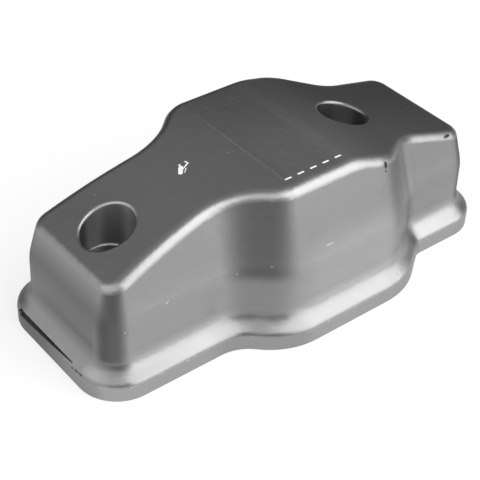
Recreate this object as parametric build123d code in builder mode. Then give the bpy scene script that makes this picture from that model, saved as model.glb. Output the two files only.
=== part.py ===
"""Engine valve cover: a cast hood that closes the top of one rocker gear housing.

The cover is one casting. A tall hollow body with an arched roof stands on a flange with a
plain skirt and a flared foot above it. Two bolt wells sink through the roof.

X runs along the cover, Y across it and Z up. The origin is the middle of the seating face.
"""
from build123d import *
from math import atan2, radians, tan
import os

# Plan of the body where it stands on the seating plane
body_length = 226.0
end_width = 76.0
centre_width = 112.0
left_flank_start = -43.5
left_flank_end = -25.5
right_flank_start = 45.0
right_flank_end = 69.0
end_corner_radius = 14.0
left_hollow_radius = 29.0
left_bulge_radius = 31.0
right_bulge_radius = 35.0
right_hollow_radius = 13.0

# Walls of the body
wall = 3.0
lower_draft = 1.0
upper_draft = 14.5
draft_change_height = 37.0
draft_change_radius = 30.0

# Roof line, seen from the front
roof_height = 78.2
left_end_height = 51.7
right_end_height = 53.6
crease_x = -15.5
crease_angle = 4.0
bend_x = 22.8
bend_radius = 40.0
roof_edge_radius = 5.8

# Flange around the foot of the body: a plain skirt, and a flare up to the wall
flange_overhang = 7.0
skirt_height = 8.6
flare_angle = 47.0
shoulder_radius = 4.0
foot_radius = 12.0

# Slot for a pry bar in the shoulder of the left end, narrowing towards the front
pry_slot_top = 9.8
pry_slot_mouth = 2.9
pry_slot_tip = 0.4
pry_slot_start = 29.0
pry_slot_length = 46.0
pry_slot_depth = 2.7

# Bolt wells
left_well_from_end = 26.0
right_well_from_end = 61.1
well_y = -0.5
well_radius = 12.6
well_floor_height = 42.0
well_wall = 2.6
well_lip_radius = 1.4
well_foot_radius = 1.5
bolt_hole_radius = 5.5

# Stock that the roof line cuts away, and the slack for finding an edge by its place
above = 0.5
near = 0.05

# Worked out from the sizes above
half_length = body_length / 2
left_well = (left_well_from_end - half_length, well_y)
right_well = (half_length - right_well_from_end, well_y)
end_half = end_width / 2
centre_half = centre_width / 2
flank_rise = centre_half - end_half
slot_end = pry_slot_start - pry_slot_length
draft_slope = tan(radians(lower_draft))
flare_slope = tan(radians(flare_angle))
foot_height = (flange_overhang + skirt_height * flare_slope) / (flare_slope - draft_slope)


def flank_radius(wanted, run, turn):
    """Limit a corner radius so that it takes no more than half of the flank beside it."""
    return min(wanted, 0.5 * run / tan(turn / 2))


left_run = left_flank_end - left_flank_start
right_run = right_flank_end - right_flank_start
left_turn = atan2(flank_rise, left_run)
right_turn = atan2(flank_rise, right_run)
left_flank = (left_run ** 2 + flank_rise ** 2) ** 0.5
right_flank = (right_run ** 2 + flank_rise ** 2) ** 0.5

plan_corners = [
    (-half_length, end_half, end_corner_radius),
    (left_flank_start, end_half, flank_radius(left_hollow_radius, left_flank, left_turn)),
    (left_flank_end, centre_half, flank_radius(left_bulge_radius, left_flank, left_turn)),
    (right_flank_start, centre_half, flank_radius(right_bulge_radius, right_flank, right_turn)),
    (right_flank_end, end_half, flank_radius(right_hollow_radius, right_flank, right_turn)),
    (half_length, end_half, end_corner_radius),
]

with BuildSketch() as body_plan:
    with BuildLine():
        front = [(x, -y) for x, y, radius in plan_corners]
        back = [(x, -y) for x, y in reversed(front)]
        Polyline(*front, *back, close=True)
    make_face()
    for x, y, radius in plan_corners:
        for side in (y, -y):
            corner = body_plan.vertices().sort_by_distance((x, side))[0]
            fillet(corner, radius)

with BuildSketch() as flange_plan:
    add(body_plan.sketch)
    offset(amount=flange_overhang)


def space_under_roof(drop):
    """The space under the roof, as wide as the whole cover, with the roof lowered by the drop."""
    with BuildPart() as space:
        with BuildSketch(Plane.XZ.offset(-centre_width)):
            with BuildLine():
                crease = (crease_x, roof_height)
                left_foot = (-half_length, left_end_height)
                right_foot = (half_length, right_end_height)
                slope = (-1, -tan(radians(crease_angle)))
                TangentArc(crease, left_foot, tangent=slope)
                FilletPolyline(crease, (bend_x, roof_height), right_foot, radius=bend_radius)
                Polyline(
                    left_foot,
                    (-body_length, left_end_height),
                    (-body_length, -body_length),
                    (body_length, -body_length),
                    (body_length, right_end_height),
                    right_foot,
                )
            make_face()
            if drop > 0:
                offset(amount=-drop)
        extrude(amount=2 * centre_width)
    return space.part


def body_form(inset):
    """The closed form of the body, drawn in on every side by the inset."""
    with BuildPart() as form:
        with BuildSketch():
            add(body_plan.sketch)
            if inset > 0:
                offset(amount=-inset)
        extrude(amount=draft_change_height, taper=lower_draft)
        with BuildSketch(Plane.XY.offset(draft_change_height)):
            add(body_plan.sketch)
            offset(amount=-inset - draft_change_height * draft_slope)
        extrude(amount=roof_height - inset + above - draft_change_height, taper=upper_draft)
        add(space_under_roof(inset), mode=Mode.INTERSECT)
        break_low = draft_change_height - near
        break_high = draft_change_height + near
        break_edges = form.edges().filter_by_position(Axis.Z, break_low, break_high)
        fillet(break_edges, draft_change_radius - inset)
        roof_faces = form.faces().filter_by(lambda face: face.normal_at().Z > 0.7)
        across = roof_faces.edges().filter_by(Axis.Y).filter_by_position(Axis.X, -60, 60)
        roof_edges = [edge for edge in roof_faces.edges() if edge not in across]
        fillet(roof_edges, roof_edge_radius - inset)
    return form.part


# Both wells with their walls, closed below
with BuildPart() as cups:
    with BuildSketch(Plane.XY.offset(well_floor_height - wall)):
        with Locations(left_well, right_well):
            Circle(well_radius + well_wall)
    extrude(amount=roof_height)
    add(space_under_roof(wall / 2), mode=Mode.INTERSECT)

with BuildPart() as valve_cover:
    # Hood on its flange, with the foot hollowed where it meets the wall
    add(body_form(0))
    with BuildSketch():
        add(flange_plan.sketch)
    extrude(amount=skirt_height)
    with BuildSketch(Plane.XY.offset(skirt_height)):
        add(flange_plan.sketch)
    extrude(amount=(flange_overhang + wall / 2) / flare_slope, taper=flare_angle)
    foot_low = foot_height - near
    foot_high = foot_height + near
    foot_edges = valve_cover.edges().filter_by_position(Axis.Z, foot_low, foot_high)
    fillet(foot_edges, foot_radius)
    skirt_low = skirt_height - near
    skirt_high = skirt_height + near
    skirt_edges = valve_cover.edges().filter_by_position(Axis.Z, skirt_low, skirt_high)
    fillet(skirt_edges, shoulder_radius)

    # Hollow inside, with the walls of the wells standing in it
    add(body_form(wall), mode=Mode.SUBTRACT)
    add(cups.part)

    # Wells, and the bolt holes in their floors
    with BuildSketch(Plane.XY.offset(well_floor_height)):
        with Locations(left_well, right_well):
            Circle(well_radius)
    extrude(amount=roof_height, mode=Mode.SUBTRACT)
    with BuildSketch():
        with Locations(left_well, right_well):
            Circle(bolt_hole_radius)
    extrude(amount=roof_height, mode=Mode.SUBTRACT)
    well_floors = valve_cover.faces().filter_by(Plane.XY).filter_by_position(
        Axis.Z, well_floor_height - near, well_floor_height + near
    )
    fillet([floor.outer_wire().edges() for floor in well_floors], well_foot_radius)
    well_bores = [
        face
        for face in valve_cover.faces().filter_by(GeomType.CYLINDER)
        if face.radius and abs(face.radius - well_radius) < near
    ]
    well_lips = [
        edge
        for bore in well_bores
        for edge in bore.edges()
        if edge.geom_type != GeomType.LINE and edge.center().Z > well_floor_height + well_radius / 2
    ]
    fillet(well_lips, well_lip_radius)

    # Slot that narrows along the left end
    with BuildSketch(Plane.YZ.offset(-half_length - flange_overhang)):
        with Locations((pry_slot_start - pry_slot_mouth / 2, pry_slot_top - pry_slot_mouth / 2)):
            Circle(pry_slot_mouth / 2)
        with Locations((slot_end + pry_slot_tip / 2, pry_slot_top - pry_slot_tip / 2)):
            Circle(pry_slot_tip / 2)
        make_hull()
    extrude(amount=pry_slot_depth, mode=Mode.SUBTRACT)

os.makedirs("parts", exist_ok=True)
valve_cover.part.label = "valve_cover"
export_step(valve_cover.part, "parts/valve_cover.step")
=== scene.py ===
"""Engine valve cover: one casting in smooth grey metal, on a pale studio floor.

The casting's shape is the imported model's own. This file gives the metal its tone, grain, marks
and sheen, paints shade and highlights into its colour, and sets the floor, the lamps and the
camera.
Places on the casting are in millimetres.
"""
import logging
import math
from dataclasses import dataclass, field
from enum import Enum
from typing import Any

import bpy
from mathutils import Matrix, Vector

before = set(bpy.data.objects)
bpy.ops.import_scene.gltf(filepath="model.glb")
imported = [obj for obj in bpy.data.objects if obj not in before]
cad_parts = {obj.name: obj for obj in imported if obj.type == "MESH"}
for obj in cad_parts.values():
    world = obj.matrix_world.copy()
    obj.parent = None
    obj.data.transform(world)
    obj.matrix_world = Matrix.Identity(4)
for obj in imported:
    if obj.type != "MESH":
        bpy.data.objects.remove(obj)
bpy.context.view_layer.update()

MM_PER_METRE = 1000.0

# Heights on the casting where one form ends and the next begins
SKIRT_TOP = 8.6
FOOT_TOP = 17.0
WALL_BREAK = 36.5

# Where along the casting the two halves of the roof meet
CREASE = -15.5

# How much the place along the casting counts in the place towards its back right
REAR_SLANT = 0.6

# The soft edge of a stroke, and where a spot ends and where it is full, against its half-sizes
STROKE_EDGE = 0.15
SPOT_END = 1.25
SPOT_FULL = 0.75

log = logging.getLogger("valve_cover")


class Value:
    """A number that varies over a surface, with the usual arithmetic."""

    def __init__(self, graph: "Graph", socket: Any) -> None:
        """Keep the node socket that carries the number.

        Args:
            graph: the graph that the socket belongs to.
            socket: the output socket.
        """
        self.graph = graph
        self.socket = socket

    def _math(self, operation: str, *terms: Any) -> "Value":
        """Add one Math node over the terms."""
        made = self.graph.node("ShaderNodeMath", {"operation": operation}, dict(enumerate(terms)))
        return Value(self.graph, made.outputs[0])

    def __add__(self, other: Any) -> "Value":
        """Sum."""
        return self._math("ADD", self, other)

    __radd__ = __add__

    def __sub__(self, other: Any) -> "Value":
        """Difference."""
        return self._math("SUBTRACT", self, other)

    def __rsub__(self, other: Any) -> "Value":
        """Difference, taken from a plain number."""
        return self._math("SUBTRACT", other, self)

    def __mul__(self, other: Any) -> "Value":
        """Product."""
        return self._math("MULTIPLY", self, other)

    __rmul__ = __mul__

    def __truediv__(self, other: Any) -> "Value":
        """Quotient."""
        return self._math("DIVIDE", self, other)

    def __pow__(self, other: Any) -> "Value":
        """Power."""
        return self._math("POWER", self, other)

    def __abs__(self) -> "Value":
        """Size without its sign."""
        return self._math("ABSOLUTE", self)

    def over(self, other: Any) -> "Value":
        """The larger of this and the other."""
        return self._math("MAXIMUM", self, other)

    def wrapped(self, step: float) -> "Value":
        """What is left over after whole steps, centred on zero."""
        return self._math("WRAP", self, step / 2, -step / 2)

    def ramp(self, low: float, high: float, start: float = 0.0, end: float = 1.0) -> "Value":
        """Go smoothly from one result to another. Low may be the larger of low and high.

        Args:
            low: the number up to which the result is start.
            high: the number from which the result is end.
            start: the result at low.
            end: the result at high.

        Returns:
            The result.
        """
        made = self.graph.node(
            "ShaderNodeMapRange",
            {"interpolation_type": "SMOOTHSTEP"},
            {"Value": self, "From Min": low, "From Max": high, "To Min": start, "To Max": end},
        )
        return Value(self.graph, made.outputs["Result"])


class Graph:
    """A node tree that is built from expressions."""

    def __init__(self, tree: bpy.types.NodeTree) -> None:
        """Start from an empty tree.

        Args:
            tree: the material's or world's node tree.
        """
        self.tree = tree
        tree.nodes.clear()

    def node(self, kind: str, settings: dict[str, Any], sockets: dict[Any, Any]) -> bpy.types.Node:
        """Add a node.

        Args:
            kind: the node's type name.
            settings: attributes, set before any socket.
            sockets: values or links for the inputs, by name or by index.

        Returns:
            The new node.
        """
        made = self.tree.nodes.new(kind)
        for name, value in settings.items():
            setattr(made, name, value)
        for key, value in sockets.items():
            if isinstance(value, Value):
                self.tree.links.new(value.socket, made.inputs[key])
            elif isinstance(value, bpy.types.NodeSocket):
                self.tree.links.new(value, made.inputs[key])
            else:
                made.inputs[key].default_value = value
        return made

    def coordinates(self, output: str) -> Any:
        """One of the vector sockets of a Texture Coordinate node."""
        return self.node("ShaderNodeTexCoord", {}, {}).outputs[output]

    def parts(self, vector: Any) -> list[Value]:
        """The three components of a vector socket."""
        made = self.node("ShaderNodeSeparateXYZ", {}, {0: vector})
        return [Value(self, component) for component in made.outputs]

    def neutral(self, level: Value, blueness: float = 1.0) -> Any:
        """Make a colour that is grey, or a little blue.

        Args:
            level: the level of red and green.
            blueness: the level of blue, as a share of the other two.

        Returns:
            The colour socket.
        """
        levels = {0: level, 1: level, 2: level * blueness}
        return self.node("ShaderNodeCombineColor", {}, levels).outputs[0]

    def mix(self, mask: Value, low: Any, high: Any) -> Any:
        """Mix two colours.

        Args:
            mask: the share of the second colour.
            low: the first colour.
            high: the second colour.

        Returns:
            The colour socket.
        """
        made = self.node("ShaderNodeMix", {"data_type": "RGBA"}, {0: mask, 6: low, 7: high})
        return made.outputs[2]


def grey(level: float) -> tuple[float, float, float, float]:
    """A plain grey colour."""
    return (level, level, level, 1.0)


def new_material(name: str) -> tuple[bpy.types.Material, Graph]:
    """Start a material.

    Args:
        name: the material's name.

    Returns:
        The material and its empty graph.
    """
    material = bpy.data.materials.new(name)
    material.use_nodes = True
    return material, Graph(material.node_tree)


@dataclass(frozen=True)
class Grain:
    """Fractal noise: its scale in cells a metre, its detail, its weight and its stretch.

    Its patches lie where the noise is high. They are given as a ramp of the noise.
    """

    scale: float
    detail: float
    weight: float = 1.0
    stretch: tuple[float, float, float] = (1.0, 1.0, 1.0)
    patch: tuple[float, ...] = (0.0, 1.0)

    def level(self, graph: Graph, place: Any) -> Value:
        """Make the noise, without its weight.

        Args:
            graph: the graph to build in.
            place: the vector socket that gives the place.

        Returns:
            The noise, from 0 to 1.
        """
        scaled = graph.node(
            "ShaderNodeVectorMath", {"operation": "MULTIPLY"}, {0: place, 1: self.stretch}
        )
        made = graph.node(
            "ShaderNodeTexNoise",
            {"noise_dimensions": "3D"},
            {"Vector": scaled.outputs[0], "Scale": self.scale, "Detail": self.detail},
        )
        return Value(graph, made.outputs[0])


class Along(Enum):
    """What a point on the casting is measured by."""

    X = "place along the cover"
    Y = "place across the cover"
    Z = "height"
    REAR = "place towards the back right"
    FACING_X = "how far the surface faces along the cover"
    FACING_Y = "how far it faces the back"
    FACING_Z = "how far it faces up"
    FLAT = "how far it faces up or down"


@dataclass(frozen=True)
class Point:
    """The point that a material colours: its place, and all its measures."""

    graph: Graph
    place: Any
    measures: dict[Along, Value]

    def __getitem__(self, along: Along) -> Value:
        """One of the measures."""
        return self.measures[along]

    def noise(self, grain: Grain) -> Value:
        """A grain's noise at this point, from -0.5 to 0.5."""
        return grain.level(self.graph, self.place) - 0.5

    def patches(self, grain: Grain) -> Value:
        """A grain's patches at this point."""
        return grain.level(self.graph, self.place).ramp(*grain.patch)


def point_of(graph: Graph) -> Point:
    """Measure the point that a material colours, by the object's own coordinates.

    Args:
        graph: the material's graph.

    Returns:
        The point.
    """
    place = graph.coordinates("Object")
    x, y, z = (part * MM_PER_METRE for part in graph.parts(place))
    facing = graph.parts(graph.node("ShaderNodeNewGeometry", {}, {}).outputs["Normal"])
    measures = {
        Along.X: x,
        Along.Y: y,
        Along.Z: z,
        Along.REAR: x * REAR_SLANT + y,
        Along.FACING_X: facing[0],
        Along.FACING_Y: facing[1],
        Along.FACING_Z: facing[2],
        Along.FLAT: abs(facing[2]),
    }
    return Point(graph, place, measures)


@dataclass(frozen=True)
class Band:
    """A soft change along one measure, from start at low to end at high."""

    along: Along
    low: float
    high: float
    start: float = 0.0
    end: float = 1.0

    def mask(self, point: Point) -> Value:
        """The band's level at a point."""
        return point[self.along].ramp(self.low, self.high, self.start, self.end)


def overlap(bands: tuple[Band, ...], point: Point) -> Value:
    """Where several bands meet.

    Args:
        bands: the bands.
        point: the point that is coloured.

    Returns:
        The product of their levels.
    """
    mask = bands[0].mask(point)
    for band in bands[1:]:
        mask = mask * band.mask(point)
    return mask


@dataclass(frozen=True)
class Zone:
    """A part of the casting, where all its bands meet, and how much paler its metal is."""

    name: str
    change: float
    bands: tuple[Band, ...]

    def weight(self, point: Point) -> Value:
        """The zone's change at a point.

        Args:
            point: the point that is coloured.

        Returns:
            The change, which is 0 outside the zone.
        """
        weight = overlap(self.bands, point) * self.change
        weight.socket.node.label = self.name
        return weight

    def changed(self, level: Any, point: Point, share: Any = 1.0) -> Value:
        """Change a level inside the zone.

        Args:
            level: the level outside the zone.
            point: the point that is coloured.
            share: how much of the change is made.

        Returns:
            The changed level.
        """
        return (self.weight(point) * share + 1.0) * level


@dataclass(frozen=True)
class Stroke:
    """A short mark on the roof: its two ends and its width."""

    start: tuple[float, float]
    end: tuple[float, float]
    width: float

    def mask(self, point: Point) -> Value:
        """Coverage of the mark.

        Args:
            point: the point that is coloured.

        Returns:
            The coverage, from 0 to 1.
        """
        run_x, run_y = self.end[0] - self.start[0], self.end[1] - self.start[1]
        length = math.hypot(run_x, run_y)
        from_x = point[Along.X] - (self.start[0] + self.end[0]) / 2
        from_y = point[Along.Y] - (self.start[1] + self.end[1]) / 2
        along = from_x * (run_x / length) + from_y * (run_y / length)
        across = from_x * (-run_y / length) + from_y * (run_x / length)
        past = (abs(along) - length / 2).over(0.0)
        away = (past * past + across * across) ** 0.5
        return away.ramp(self.width / 2 + STROKE_EDGE, self.width / 2 - STROKE_EDGE)


@dataclass(frozen=True)
class Spot:
    """A small mark anywhere on the casting: its middle and its half-sizes."""

    middle: tuple[float, float, float]
    half: tuple[float, float, float]

    def mask(self, point: Point) -> Value:
        """Coverage of the mark.

        Args:
            point: the point that is coloured.

        Returns:
            The coverage, from 0 to 1.
        """
        axes = (Along.X, Along.Y, Along.Z)
        x, y, z = ((point[a] - m) / h for a, m, h in zip(axes, self.middle, self.half))
        return ((x * x + y * y + z * z) ** 0.5).ramp(SPOT_END, SPOT_FULL)


def coverage(marks: tuple[Stroke | Spot, ...], point: Point) -> Value:
    """Coverage of several marks at once.

    Args:
        marks: strokes or spots.
        point: the point that is coloured.

    Returns:
        The largest of their coverages.
    """
    covered = marks[0].mask(point)
    for mark in marks[1:]:
        covered = mark.mask(point).over(covered)
    return covered


@dataclass(frozen=True)
class DashRow:
    """A row of dashes along the roof: its middle, the line it lies on and the dashes' sizes."""

    middle: float = 1.6
    line: float = -36.0
    count: int = 5
    pitch: float = 7.45
    length: float = 3.7
    width: float = 0.9
    edge: float = 0.2

    def mask(self, point: Point) -> Value:
        """Coverage of the row.

        Args:
            point: the point that is coloured.

        Returns:
            The coverage, from 0 to 1.
        """
        from_middle = point[Along.X] - self.middle
        from_dash = from_middle.wrapped(self.pitch)
        from_line = point[Along.Y] - self.line
        reaches = (
            (from_middle, self.count * self.pitch / 2),
            (from_dash, self.length / 2),
            (from_line, self.width / 2),
        )
        row, along, across = (abs(v).ramp(end + self.edge, end - self.edge) for v, end in reaches)
        return row * along * across


@dataclass(frozen=True)
class Bore:
    """The wall of a bolt well: its middle, its sizes and how much paler its metal is, as a painted
    highlight.

    The sides of the bore, on a line that is turned away from the cover's length, change less
    than its middle. What each side loses is given under the roof and at full depth.
    """

    middle: tuple[float, float]
    painted_lift: float
    radius: float = 12.6
    rim: tuple[float, float] = (0.8, -0.1)
    roof_height: float = 66.0
    roof_rise: float = 0.055
    depth: float = 18.0
    floor_edge: Band = Band(Along.Z, 42.4, 43.6)
    upright: Band = Band(Along.FACING_Z, 0.95, 0.5)
    turn: float = 40.0
    most: float = 1.1
    left_side: tuple[float, float] = (0.0, -8.0)
    left_loss: tuple[float, float] = (-0.75, -0.4)
    right_side: tuple[float, float] = (1.0, 10.0)
    right_loss: tuple[float, float] = (-0.7, -0.4)

    def mask(self, point: Point) -> Value:
        """How much paler the metal is, as a painted highlight.

        Args:
            point: the point that is coloured.

        Returns:
            The change, where 0 is none.
        """
        from_x, from_y = point[Along.X] - self.middle[0], point[Along.Y] - self.middle[1]
        away = (from_x * from_x + from_y * from_y) ** 0.5
        turn = math.radians(self.turn)
        aside = from_x * math.cos(turn) - from_y * math.sin(turn)
        sunk = point[Along.X] * self.roof_rise + self.roof_height - point[Along.Z]
        left = aside.ramp(*self.left_side) * sunk.ramp(0.0, self.depth, *self.left_loss)
        right = aside.ramp(*self.right_side) * sunk.ramp(0.0, self.depth, *self.right_loss)
        bored = away.ramp(*(self.radius + edge for edge in self.rim))
        wall = overlap((self.floor_edge, self.upright), point)
        return (left + right + self.most) * self.painted_lift * bored * wall


# Bands that several zones share
WALLS = (Band(Along.FLAT, 0.45, 0.3), Band(Along.Z, FOOT_TOP - 5.0, FOOT_TOP + 1.0))
ROOF = (Band(Along.FACING_Z, 0.8, 0.9), Band(Along.Z, WALL_BREAK, WALL_BREAK + 8.0))
MARKED_ROOF = Band(Along.FACING_Z, 0.5, 0.8)

# Painted shade and painted highlights, where the metal is darker or paler than plain metal. They
# stand in for what it reflects and for where shade falls
PAINTED_LIGHT_ZONES = (
    Zone("walls, paler below", 0.24, (*WALLS, Band(Along.Z, 55.0, 22.0, -0.5, 0.5))),
    Zone(
        "walls of the middle",
        0.16,
        (
            *WALLS,
            Band(Along.X, -20.0, -5.0),
            Band(Along.X, 55.0, 40.0),
            Band(Along.Z, 58.0, 38.0),
        ),
    ),
    Zone("walls of the right end", -0.12, (*WALLS, Band(Along.X, 66.0, 74.0))),
    Zone(
        "foot under the left flank",
        -0.15,
        (
            Band(Along.X, -64.0, -50.0),
            Band(Along.X, -12.0, -22.0),
            Band(Along.Y, -20.0, -30.0),
            Band(Along.Z, FOOT_TOP, FOOT_TOP - 4.0),
        ),
    ),
    Zone(
        "back of the foot at the left end",
        -0.4,
        (
            Band(Along.X, -98.0, -110.0),
            Band(Along.Y, 24.0, 38.0),
            Band(Along.Z, FOOT_TOP + 3.0, FOOT_TOP - 2.0),
        ),
    ),
    Zone(
        "back edge of the roof",
        -0.5,
        (
            Band(Along.FACING_Y, 0.1, 0.45),
            Band(Along.FACING_Z, 0.4, 0.7),
            Band(Along.Z, WALL_BREAK + 4.0, WALL_BREAK + 10.0),
        ),
    ),
    Zone(
        "bend of the roof",
        0.28,
        (*ROOF, Band(Along.X, 12.0, 26.0), Band(Along.X, 58.0, 26.0)),
    ),
    Zone(
        "front of the level roof",
        0.13,
        (
            *ROOF,
            Band(Along.X, -18.0, -8.0),
            Band(Along.X, 40.0, 14.0),
            Band(Along.Y, 20.0, -25.0),
        ),
    ),
    Zone("roof", -0.2, ROOF),
    Zone("left end of the roof", -0.17, (MARKED_ROOF, Band(Along.X, -60.0, -105.0))),
    Zone(
        "left end wall",
        -1.0,
        (
            Band(Along.X, -108.0, -112.0),
            Band(Along.Z, FOOT_TOP - 4.0, FOOT_TOP + 1.0),
            Band(Along.Z, 25.0, 50.0, 0.36, 0.51),
        ),
    ),
    Zone(
        "back of the roof and of the foot",
        -0.44,
        (Band(Along.REAR, -15.0, 95.0), Band(Along.FACING_Z, 0.2, 0.6)),
    ),
    Zone(
        "skirt at the left end, darker towards the back",
        -0.55,
        (
            Band(Along.X, -115.0, -118.5),
            Band(Along.Y, -24.0, 16.0, 0.36, 1.0),
            Band(Along.Z, SKIRT_TOP + 2.0, SKIRT_TOP - 1.0),
            Band(Along.FLAT, 0.6, 0.3),
        ),
    ),
    Zone("skirt", 0.16, (Band(Along.Z, SKIRT_TOP + 0.2, SKIRT_TOP - 1.8),)),
)

# Painted shade on the flare of the foot, which turns into a painted highlight at the right flank
FLARE = Zone(
    "flare of the foot",
    -0.12,
    (
        Band(Along.Z, FOOT_TOP, FOOT_TOP - 4.0),
        Band(Along.Z, SKIRT_TOP - 0.5, SKIRT_TOP + 1.0),
        Band(Along.X, -116.0, -108.0),
        Band(Along.X, 76.0, 68.0),
    ),
)
FLARE_TURN = Zone(
    "turn of the flare at the right flank, paler",
    -3.0,
    (
        Band(Along.X, 36.0, 48.0),
        Band(Along.X, 72.0, 64.0),
        Band(Along.Y, -42.0, -50.0),
    ),
)

# The corners of the walls, darkened by painted shade: where they are upright, where the painted
# shade is less dark, and their foot
CORNER_WALLS = (Band(Along.FLAT, 0.42, 0.28), Band(Along.Z, FOOT_TOP - 4.0, FOOT_TOP + 1.0))
CORNER_RELIEFS = (
    Zone(
        "lower walls between the ends",
        -0.55,
        (
            Band(Along.Z, WALL_BREAK + 3.5, WALL_BREAK - 3.5),
            Band(Along.X, -92.0, -84.0),
            Band(Along.X, 92.0, 84.0),
        ),
    ),
    Zone("right flank", -1.5, (Band(Along.X, 40.0, 60.0), Band(Along.X, 100.0, 90.0))),
    Zone(
        "upper hollow of the left flank",
        -0.2,
        (
            Band(Along.X, -60.0, -50.0),
            Band(Along.X, -10.0, -20.0),
            Band(Along.Z, 38.0, 45.0),
        ),
    ),
)
CORNER_FOOT = Zone(
    "foot of the left end's corners",
    0.55,
    (
        Band(Along.X, -98.0, -104.0),
        Band(Along.Z, 18.0, 15.0),
        Band(Along.Z, 8.5, 12.5),
    ),
)

# Where the roof is paler, and how strongly: a thin line along the crease, and faint streaks
CREASE_LINE = Zone(
    "line along the crease",
    0.75,
    (Band(Along.Y, 34.0, 16.0), Band(Along.Y, -38.5, -36.5)),
)
STREAKED_ROOF = Zone(
    "roof with streaks",
    0.2,
    (Band(Along.X, CREASE, CREASE + 4.0), Band(Along.X, 34.0, 12.0)),
)

# Single marks
FLECK = (
    Stroke((-46.5, 0.2), (-44.4, 3.0), 2.2),
    Stroke((-43.9, 4.6), (-43.6, 4.9), 0.9),
    Stroke((-44.0, 1.6), (-40.2, 3.2), 0.7),
    Stroke((-40.2, 3.2), (-40.5, 5.0), 0.8),
    Stroke((-45.0, -0.9), (-42.9, 0.9), 0.5),
)
SCUFFS = (
    Stroke((-31.1, -2.8), (-30.6, -3.0), 0.5),
    Stroke((-22.9, -3.4), (-22.1, -3.8), 0.5),
    Stroke((-20.4, -4.4), (-19.9, -4.6), 0.4),
    Stroke((0.6, 28.9), (1.4, 28.4), 0.4),
    Stroke((7.0, 33.0), (8.6, 28.4), 0.3),
    Stroke((11.0, 31.0), (11.8, 29.6), 0.3),
    Stroke((-81.0, 19.4), (-80.4, 18.6), 0.5),
)
NICKS = (
    Spot((-80.8, -36.7, 39.5), (0.5, 1.0, 0.5)),
    Spot((-79.9, -36.5, 40.1), (0.3, 1.0, 0.3)),
    Spot((-103.2, -36.7, 33.8), (0.5, 1.0, 0.5)),
    Spot((-43.5, -39.2, 39.4), (0.5, 1.0, 0.5)),
    Spot((-30.3, -47.8, 42.9), (0.6, 1.0, 0.5)),
    Spot((-0.2, -53.2, 45.5), (2.2, 1.0, 0.35)),
)
PITS = (
    Spot((38.4, -46.2, 70.2), (1.1, 1.8, 1.8)),
    Spot((38.0, -47.0, 67.2), (0.4, 1.2, 0.7)),
    Spot((96.6, -31.8, 56.0), (2.4, 1.4, 0.7)),
    Spot((-119.9, -18.1, 7.8), (1.0, 0.6, 0.5)),
    Spot((-119.9, -21.3, 8.4), (1.0, 1.3, 0.4)),
    Spot((-119.6, -24.5, 8.6), (1.0, 1.6, 0.3)),
)


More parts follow.
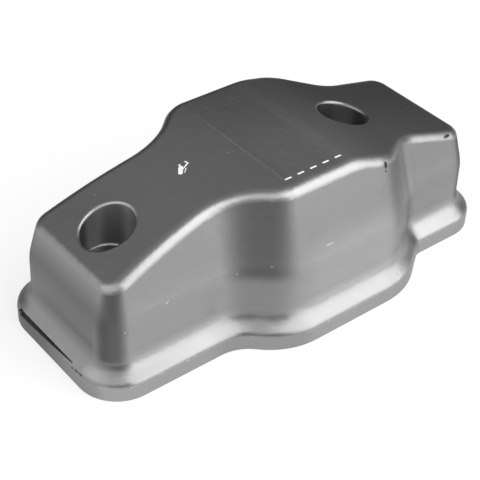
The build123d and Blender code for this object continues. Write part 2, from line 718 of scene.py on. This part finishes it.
@dataclass(frozen=True)
class CastMetal:
    """Smooth cast metal with a satin sheen, soft blotches, a few small marks, and painted shade
    and highlights.

    Each reach is a pair of distances from a line: where a mark ends and where it is full.
    """

    tone: float = 0.31
    blueness: float = 1.005
    edge_tint: float = 0.7
    roughness: float = 0.38
    roughness_spread: float = 0.05
    bore_roughness: float = 0.4
    blotch: Grain = Grain(28.0, 2.0, 0.06)
    cloud: Grain = Grain(9.0, 1.0, 0.08)
    speck: Grain = Grain(2600.0, 2.0, 0.06)
    grains: tuple[Grain, ...] = (
        Grain(900.0, 3.0, 0.13),
        Grain(350.0, 2.0, 1.6),
        Grain(160.0, 2.0, 2.5),
    )
    grain_height: float = 0.0001
    bump_strength: float = 0.5
    corner_shade: float = 0.65
    corner_turn: tuple[float, float] = (0.125, 0.5)
    bores: tuple[Bore, ...] = (Bore((-87.0, -0.5), 1.0), Bore((51.9, -0.5), 0.1))
    pit_shade: float = 0.85
    pit_depth: float = 3.0
    wear_lift: float = 0.7
    worn_height: float = SKIRT_TOP - 1.2
    worn_reach: tuple[float, float] = (1.1, 0.2)
    wear: Grain = Grain(420.0, 3.0, stretch=(1.0, 1.0, 5.0), patch=(0.58, 0.68))
    scuff_and_crease_lift: float = 0.6
    crease_reach: tuple[float, float] = (0.6, 0.1)
    crease_mottle: Grain = Grain(700.0, 2.0, patch=(0.25, 0.6))
    streaks: Grain = Grain(450.0, 3.0, stretch=(1.0, 0.3, 1.0), patch=(0.56, 0.72))
    paint_tone: float = 0.88
    paint_roughness: float = 0.25
    paint_wear: Grain = Grain(1100.0, 2.0, patch=(0.35, 0.55, 0.6, 1.0))
    dashes: DashRow = DashRow()

    def shaded_corners(self, point: Point) -> Value:
        """Where the upright walls turn a corner: painted shade makes the metal darker there.

        Args:
            point: the point that is coloured.

        Returns:
            The mask.
        """
        slanting = abs(point[Along.FACING_X] * point[Along.FACING_Y])
        upright = overlap(CORNER_WALLS, point)
        shade = upright
        for relief in CORNER_RELIEFS:
            shade = relief.changed(shade, point)
        foot = CORNER_FOOT.weight(point) * (1.0 - upright)
        return slanting.ramp(*self.corner_turn) * (shade + foot)

    def worn(self, point: Point) -> Value:
        """Where the metal is rubbed pale: along the skirt's upper edge, and in the nicks.

        Args:
            point: the point that is coloured.

        Returns:
            The mask.
        """
        edge = abs(point[Along.Z] - self.worn_height).ramp(*self.worn_reach)
        return (edge * point.patches(self.wear)).over(coverage(NICKS, point))

    def scuffs_and_crease_line(self, point: Point) -> Value:
        """Where the roof is paler: a thin line along the crease, faint streaks and short
        scratches.

        Args:
            point: the point that is coloured.

        Returns:
            The mask.
        """
        ridge = abs(point[Along.X] - CREASE).ramp(*self.crease_reach) * CREASE_LINE.weight(point)
        streaks = point.patches(self.streaks) * STREAKED_ROOF.weight(point)
        crease_and_streaks = (ridge * point.patches(self.crease_mottle)).over(streaks)
        return crease_and_streaks.over(coverage(SCUFFS, point)) * MARKED_ROOF.mask(point)

    def painted(self, point: Point) -> Value:
        """Where the roof has white paint: one fleck, and a row of dashes.

        Args:
            point: the point that is coloured.

        Returns:
            The mask.
        """
        fleck = coverage(FLECK, point) * point.patches(self.paint_wear)
        return self.dashes.mask(point).over(fleck) * MARKED_ROOF.mask(point)

    def build(self) -> bpy.types.Material:
        """Make the material.

        Returns:
            The material.
        """
        material, graph = new_material("cast_metal")
        point = point_of(graph)
        # The bores' mask: a painted highlight in the colour, and rougher metal
        bore = sum(one.mask(point) for one in self.bores)
        pit = coverage(PITS, point)
        paint = self.painted(point)

        blotch, speck = point.noise(self.blotch), point.noise(self.speck)
        tone = blotch * self.blotch.weight + speck * self.speck.weight
        tone = tone + point.noise(self.cloud) * self.cloud.weight + 1.0
        # Painted shade and painted highlights: the zones, the flare, the corners of the walls and
        # the bores
        for zone in PAINTED_LIGHT_ZONES:
            tone = zone.changed(tone, point)
        tone = FLARE.changed(tone, point, FLARE_TURN.changed(1.0, point))
        tone = tone * (1.0 - self.shaded_corners(point) * self.corner_shade) * (bore + 1.0)
        paler_marks = self.worn(point) * self.wear_lift + self.scuffs_and_crease_line(point) * self.scuff_and_crease_lift
        tone = tone * (paler_marks + 1.0) * (1.0 - pit * self.pit_shade) * self.tone

        roughness = (blotch + speck) * self.roughness_spread + self.roughness
        roughness = roughness + paint * self.paint_roughness + bore * self.bore_roughness
        height = sum(point.noise(grain) * grain.weight for grain in self.grains)
        bump = graph.node(
            "ShaderNodeBump",
            {},
            {
                "Strength": self.bump_strength,
                "Distance": self.grain_height,
                "Height": height - pit * self.pit_depth,
            },
        )
        shader = graph.node(
            "ShaderNodeBsdfPrincipled",
            {},
            {
                "Base Color": graph.mix(
                    paint, graph.neutral(tone, self.blueness), grey(self.paint_tone)
                ),
                "Metallic": 1.0 - paint,
                "Roughness": roughness,
                "Specular Tint": grey(self.edge_tint),
                "Normal": bump.outputs["Normal"],
            },
        )
        graph.node("ShaderNodeOutputMaterial", {}, {"Surface": shader.outputs[0]})
        return material


@dataclass
class ValveCover:
    """The casting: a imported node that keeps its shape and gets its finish."""

    node: str = "valve_cover"
    finish: CastMetal = field(default_factory=CastMetal)

    def build(self) -> None:
        """Dress the casting."""
        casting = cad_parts[self.node]
        material = self.finish.build()
        for place in casting.material_slots:
            place.material = material
        log.info("%s: %d faces in %s", self.node, len(casting.data.polygons), material.name)


class Side(Enum):
    """Where a lamp stands round the cover: degrees from +X towards +Y."""

    FRONT_RIGHT = -60.0
    LEFT = 190.0


@dataclass
class Lamp:
    """A soft rectangular lamp that looks at the middle of the cover, in degrees and metres."""

    name: str
    side: Side
    height: float
    distance: float
    width: float
    tall: float
    radiance: float

    def build(self) -> None:
        """Place the lamp and set its strength from its radiance."""
        light = bpy.data.lights.new(self.name, "AREA")
        light.shape = "RECTANGLE"
        light.size = self.width
        light.size_y = self.tall
        light.energy = self.radiance * self.width * self.tall * math.pi
        lamp = bpy.data.objects.new(self.name, light)
        turn, rise = math.radians(self.side.value), math.radians(self.height)
        level = math.cos(rise)
        towards = Vector((math.cos(turn) * level, math.sin(turn) * level, math.sin(rise)))
        lamp.location = towards * self.distance
        lamp.rotation_euler = (-towards).to_track_quat("-Z", "Y").to_euler()
        bpy.context.scene.collection.objects.link(lamp)
        log.info("lamp %s", self.name)


@dataclass
class Studio:
    """A plain pale floor under a plain grey room, with soft lamps."""

    floor_size: float = 40.0
    floor_drop: float = 0.0003
    floor_tone: float = 0.9
    floor_grain: Grain = Grain(40.0, 2.0, 0.004)
    floor_paleness: float = 0.7
    low_sky: float = 0.05
    high_sky: float = 0.49
    sky_reach: float = 0.9
    left_sky: float = 0.75
    left_turn: float = 165.0
    left_reach: tuple[float, float] = (0.45, 0.85)
    lamps: tuple[Lamp, ...] = (
        Lamp("key_lamp", Side.FRONT_RIGHT, 36.0, 1.6, 2.0, 2.1, 3.1),
        Lamp("fill_lamp", Side.LEFT, 48.0, 1.6, 2.8, 1.2, 1.0),
    )

    def floor_material(self) -> bpy.types.Material:
        """Make a matt floor that shows white to the camera, in gloss and through glass.

        Returns:
            The material.
        """
        material, graph = new_material("pale_floor")
        grain = self.floor_grain.level(graph, graph.coordinates("Object")) - 0.5
        colour = graph.neutral(grain * self.floor_grain.weight + self.floor_tone)
        matt = graph.node("ShaderNodeBsdfDiffuse", {}, {"Color": colour})
        white = graph.node("ShaderNodeEmission", {}, {"Color": grey(1.0), "Strength": 1.0})
        path = graph.node("ShaderNodeLightPath", {}, {}).outputs
        rays = ("Is Camera Ray", "Is Glossy Ray", "Is Transmission Ray")
        camera, glossy, through = (Value(graph, path[name]) for name in rays)
        seen = camera.over(glossy).over(through) * self.floor_paleness
        shader = graph.node(
            "ShaderNodeMixShader", {}, {0: seen, 1: matt.outputs[0], 2: white.outputs[0]}
        )
        graph.node("ShaderNodeOutputMaterial", {}, {"Surface": shader.outputs[0]})
        return material

    def build_floor(self) -> None:
        """Make the floor, just under the seating face."""
        half = self.floor_size / 2
        mesh = bpy.data.meshes.new("floor")
        corners = [(-half, -half, 0), (half, -half, 0), (half, half, 0), (-half, half, 0)]
        mesh.from_pydata(corners, [], [(0, 1, 2, 3)])
        mesh.materials.append(self.floor_material())
        floor = bpy.data.objects.new("floor", mesh)
        floor.location.z = -self.floor_drop
        bpy.context.scene.collection.objects.link(floor)

    def build_sky(self) -> None:
        """Make the room: dark at the floor's edge, paler overhead and on the left."""
        world = bpy.data.worlds.new("room")
        bpy.context.scene.world = world
        world.use_nodes = True
        graph = Graph(world.node_tree)
        east, north, height = graph.parts(graph.coordinates("Generated"))
        turn = math.radians(self.left_turn)
        leftward = east * math.cos(turn) + north * math.sin(turn)
        level = height.ramp(0.0, self.sky_reach, self.low_sky, self.high_sky)
        level = level + leftward.ramp(*self.left_reach) * self.left_sky
        sockets = {"Color": graph.neutral(level), "Strength": 1.0}
        shader = graph.node("ShaderNodeBackground", {}, sockets)
        graph.node("ShaderNodeOutputWorld", {}, {"Surface": shader.outputs[0]})

    def build(self) -> None:
        """Make the floor, the room and the lamps."""
        self.build_floor()
        self.build_sky()
        for lamp in self.lamps:
            lamp.build()
        log.info("studio with %d lamps", len(self.lamps))


@dataclass
class Camera:
    """The photographer's camera: its place in metres and its angles in degrees."""

    place: tuple[float, float, float] = (-0.32494, -0.37773, 0.40754)
    heading: float = 50.17
    pitch: float = 38.36
    roll: float = 2.394
    focal_pixels: float = 1265.3
    image_pixels: float = 480.0
    sensor: float = 36.0
    nearest: float = 0.01
    farthest: float = 50.0

    def build(self) -> None:
        """Place the camera and make it the scene's own."""
        turn, dip, roll = (math.radians(a) for a in (self.heading, self.pitch, self.roll))
        reach = math.cos(dip)
        ahead = Vector((math.cos(turn) * reach, math.sin(turn) * reach, -math.sin(dip)))
        level = Vector((math.sin(turn), -math.cos(turn), 0.0))
        upward = level.cross(ahead)
        right = level * math.cos(roll) + upward * math.sin(roll)
        up = upward * math.cos(roll) - level * math.sin(roll)
        data = bpy.data.cameras.new("camera")
        data.sensor_fit = "HORIZONTAL"
        data.sensor_width = self.sensor
        data.lens = self.focal_pixels * self.sensor / self.image_pixels
        data.clip_start, data.clip_end = self.nearest, self.farthest
        camera = bpy.data.objects.new("camera", data)
        turned = Matrix((right, up, -ahead)).transposed().to_4x4()
        camera.matrix_world = Matrix.Translation(self.place) @ turned
        bpy.context.scene.collection.objects.link(camera)
        bpy.context.scene.camera = camera
        log.info("camera with a %.1f mm lens", data.lens)


def main() -> None:
    """Build the camera, the cover and the studio in turn."""
    logging.basicConfig(level=logging.INFO, format="%(message)s")
    bpy.context.scene.view_settings.view_transform = "Standard"
    for part in (Camera(), ValveCover(), Studio()):
        part.build()


if __name__ == "__main__":
    main()
